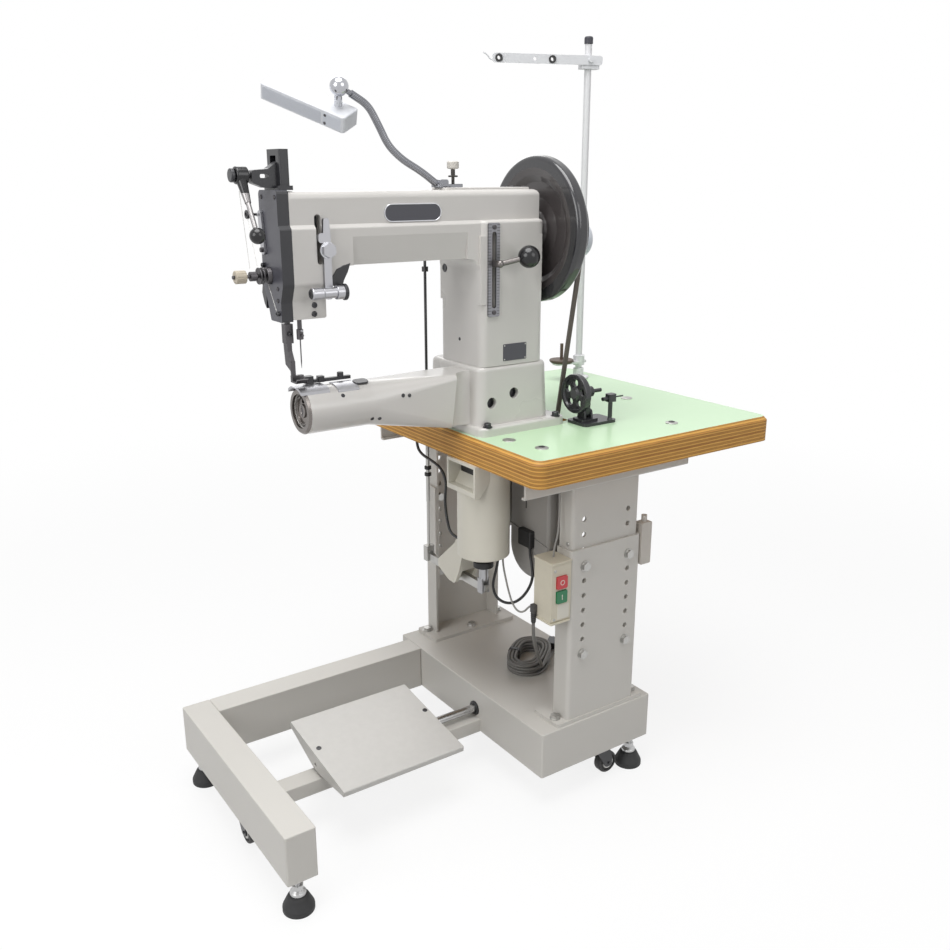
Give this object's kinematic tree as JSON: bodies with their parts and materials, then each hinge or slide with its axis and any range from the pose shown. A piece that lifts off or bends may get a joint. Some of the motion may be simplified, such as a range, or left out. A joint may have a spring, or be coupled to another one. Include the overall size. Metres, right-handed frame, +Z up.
{
  "type": "sewing machine",
  "caption": "Heavy cylinder-arm sewing machine on an open floor stand with treadle, round-edged table, motor drive, lamp, thread stand and bobbin winder.",
  "frame": {"origin": "on the floor, under the middle of the bounding box", "axes": "+X from the needle end to the handwheel, +Y from the operator to the back, +Z up"},
  "size_m": [1.128, 0.67, 1.574],
  "materials": {
    "stand_paint": "satin light grey paint",
    "head_paint": "semi-gloss warm light grey enamel",
    "table_laminate": "mint laminate on plywood",
    "black_metal": "gloss black enamel",
    "dark_cover": "dark slate hammered paint",
    "steel": "ground steel",
    "bright": "polished plating",
    "zinc": "zinc-plated fasteners",
    "coil_paint": "off-white paint",
    "motor_paint": "grey painted aluminium",
    "cream_plastic": "cream moulded plastic",
    "white_plastic": "white moulded plastic",
    "red_plastic": "red moulded plastic",
    "green_plastic": "green moulded plastic",
    "black_plastic": "black moulded plastic",
    "lamp_body": "light grey plastic",
    "belt_rubber": "black rubber",
    "pad_rubber": "black rubber",
    "castor_tread": "dark grey rubber",
    "cord_sheath": "dark grey flexible sheath",
    "lead_sheath": "black flexible sheath"
  },
  "bodies": {
    "stand": {"base_box": "stand_paint", "rear_rail": "stand_paint", "end_rail": "stand_paint", "treadle_rail": "stand_paint", "front_column": "stand_paint", "rear_column": "stand_paint", "front_upright": "stand_paint", "rear_upright": "stand_paint", "thread_stand": "stand_paint", "levelling_feet": "pad_rubber", "stand_bolts": "zinc", "tabletop": "table_laminate", "switch_box": "cream_plastic", "solenoid_body": "coil_paint", "tension_unit": "steel", "stitch_plate": "steel", "hook_ring": "steel", "throat_plate": "steel", "motor": "motor_paint", "v_belt": "belt_rubber", "lifter_bracket": "black_metal", "winder_frame": "black_metal", "synchroniser": "white_plastic", "bed_casting": "head_paint", "arm_casting": "head_paint", "top_cover": "head_paint", "face_cover": "dark_cover", "lamp_neck": "bright", "cord_plug": "black_plastic", "machine_cables": "lead_sheath", "power_cord": "cord_sheath", "cord_hank": "cord_sheath"},
    "treadle": {"treadle": "stand_paint"},
    "fork_end": {"castor_fork_end": "black_metal"},
    "fork_front": {"castor_fork_front": "black_metal"},
    "fork_rear": {"castor_fork_rear": "black_metal"},
    "wheel_end": {"castor_wheel_end": "castor_tread"},
    "wheel_front": {"castor_wheel_front": "castor_tread"},
    "wheel_rear": {"castor_wheel_rear": "castor_tread"},
    "stop_button": {"stop_button": "red_plastic"},
    "start_button": {"start_button": "green_plastic"},
    "lift_lever": {"lift_lever": "zinc"},
    "lift_rod": {"lift_rod": "zinc"},
    "plunger": {"solenoid_plunger": "steel"},
    "presser": {"presser_bar": "steel"},
    "hand_lifter": {"hand_lifter": "black_metal"},
    "needle": {"needle_bar": "steel"},
    "take_up": {"take_up_lever": "steel"},
    "tension_nut": {"tension_nut": "steel"},
    "foot_link": {"foot_link": "steel"},
    "stitch_lever": {"stitch_lever": "black_metal"},
    "handwheel": {"handwheel": "black_metal"},
    "motor_pulley": {"motor_pulley": "motor_paint"},
    "shuttle": {"shuttle": "steel"},
    "slide_plate": {"slide_plate": "steel"},
    "edge_guide": {"edge_guide": "steel"},
    "lamp": {"lamp_head": "lamp_body"},
    "thread_arm": {"thread_arm": "stand_paint"},
    "winder_arm": {"winder_arm": "black_metal"},
    "winder_wheel": {"winder_wheel": "black_metal"}
  },
  "joints": [
    {"name": "treadle_rock", "type": "hinge", "parent": "stand", "child": "treadle", "pos_m": [-0.25, -0.038, 0.127], "axis": [1, 0, 0], "range_deg": [-10, 8], "stiffness_Nm_per_rad": 20},
    {"name": "swivel_end", "type": "hinge", "parent": "stand", "child": "fork_end", "pos_m": [-0.534, -0.01, 0.08], "axis": [0, 0, 1], "continuous": true},
    {"name": "roll_end", "type": "hinge", "parent": "fork_end", "child": "wheel_end", "pos_m": [-0.534, -0.028, 0.028], "axis": [1, 0, 0], "continuous": true},
    {"name": "swivel_front", "type": "hinge", "parent": "stand", "child": "fork_front", "pos_m": [0.19, -0.248, 0.08], "axis": [0, 0, 1], "continuous": true},
    {"name": "roll_front", "type": "hinge", "parent": "fork_front", "child": "wheel_front", "pos_m": [0.208, -0.248, 0.028], "axis": [0, 1, 0], "continuous": true},
    {"name": "swivel_rear", "type": "hinge", "parent": "stand", "child": "fork_rear", "pos_m": [0.19, 0.248, 0.08], "axis": [0, 0, 1], "continuous": true},
    {"name": "roll_rear", "type": "hinge", "parent": "fork_rear", "child": "wheel_rear", "pos_m": [0.208, 0.248, 0.028], "axis": [0, 1, 0], "continuous": true},
    {"name": "stop_press", "type": "slide", "parent": "stand", "child": "stop_button", "axis": [0, 1, 0], "range_m": [0, 0.003], "stiffness_N_per_m": 600},
    {"name": "start_press", "type": "slide", "parent": "stand", "child": "start_button", "axis": [0, 1, 0], "range_m": [0, 0.003], "stiffness_N_per_m": 600},
    {"name": "lift_lever_turn", "type": "hinge", "parent": "stand", "child": "lift_lever", "pos_m": [-0.018, -0.016, 0.448], "axis": [-1, 0, 0], "range_deg": [0, 5], "stiffness_Nm_per_rad": 20, "springref_deg": -2.86},
    {"name": "lift_rod_pull", "type": "slide", "parent": "stand", "child": "lift_rod", "axis": [0, 0, 1], "range_m": [-0.012, 0]},
    {"name": "plunger_pull", "type": "slide", "parent": "stand", "child": "plunger", "axis": [0, 0, 1], "range_m": [0, 0.008]},
    {"name": "presser_lift", "type": "slide", "parent": "stand", "child": "presser", "axis": [0, 0, 1], "range_m": [0, 0.0065]},
    {"name": "hand_lift", "type": "hinge", "parent": "stand", "child": "hand_lifter", "pos_m": [-0.48, -0.072, 1.27], "axis": [-1, 0, 0], "range_deg": [0, 50]},
    {"name": "needle_stroke", "type": "slide", "parent": "stand", "child": "needle", "axis": [0, 0, 1], "range_m": [-0.045, 0]},
    {"name": "take_up_swing", "type": "hinge", "parent": "stand", "child": "take_up", "pos_m": [-0.4355, -0.044, 1.15], "axis": [1, 0, 0], "range_deg": [-25, 25]},
    {"name": "tension_turn", "type": "hinge", "parent": "stand", "child": "tension_nut", "pos_m": [-0.485, -0.056, 1.108], "axis": [1, 0, 0], "range_deg": [-360, 360]},
    {"name": "foot_link_stroke", "type": "slide", "parent": "stand", "child": "foot_link", "axis": [0, 0, 1], "range_m": [-0.01, 0.01]},
    {"name": "stitch_set", "type": "hinge", "parent": "stand", "child": "stitch_lever", "pos_m": [-0.009, -0.052, 1.112], "axis": [1, 0, 0], "range_deg": [-24, 24]},
    {"name": "handwheel_turn", "type": "hinge", "parent": "stand", "child": "handwheel", "pos_m": [0.137, -0.062, 1.167], "axis": [1, 0, 0], "continuous": true},
    {"name": "motor_turn", "type": "hinge", "parent": "stand", "child": "motor_pulley", "pos_m": [0.173, -0.02, 0.605], "axis": [1, 0, 0], "continuous": true},
    {"name": "shuttle_swing", "type": "hinge", "parent": "stand", "child": "shuttle", "pos_m": [-0.36, -0.062, 0.868], "axis": [1, 0, 0], "range_deg": [-100, 100]},
    {"name": "slide_plate_open", "type": "slide", "parent": "stand", "child": "slide_plate", "axis": [1, 0, 0], "range_m": [0, 0.02]},
    {"name": "edge_guide_set", "type": "slide", "parent": "stand", "child": "edge_guide", "axis": [1, 0, 0], "range_m": [0, 0.012]},
    {"name": "lamp_tilt", "type": "hinge", "parent": "stand", "child": "lamp", "pos_m": [-0.295, -0.069, 1.412], "axis": [0.829, 0.399, 0.392], "range_deg": [-15, 15]},
    {"name": "thread_arm_swing", "type": "hinge", "parent": "stand", "child": "thread_arm", "pos_m": [0.492, 0.212, 1.522], "axis": [0, 0, 1], "range_deg": [-90, 90]},
    {"name": "winder_tilt", "type": "hinge", "parent": "stand", "child": "winder_arm", "pos_m": [0.199, -0.1526, 0.802], "axis": [-1, 0, 0], "range_deg": [0, 4]},
    {"name": "winder_spin", "type": "hinge", "parent": "winder_arm", "child": "winder_wheel", "pos_m": [0.205, -0.1526, 0.846], "axis": [1, 0, 0], "continuous": true}
  ],
  "couplings": [
    {"joint": "lift_rod_pull", "follows": "lift_lever_turn", "m_per_rad": -0.131},
    {"joint": "plunger_pull", "follows": "lift_lever_turn", "m_per_rad": 0.082},
    {"joint": "presser_lift", "follows": "lift_lever_turn", "m_per_rad": 0.0688},
    {"joint": "motor_turn", "follows": "handwheel_turn", "ratio": 2.425}
  ]
}
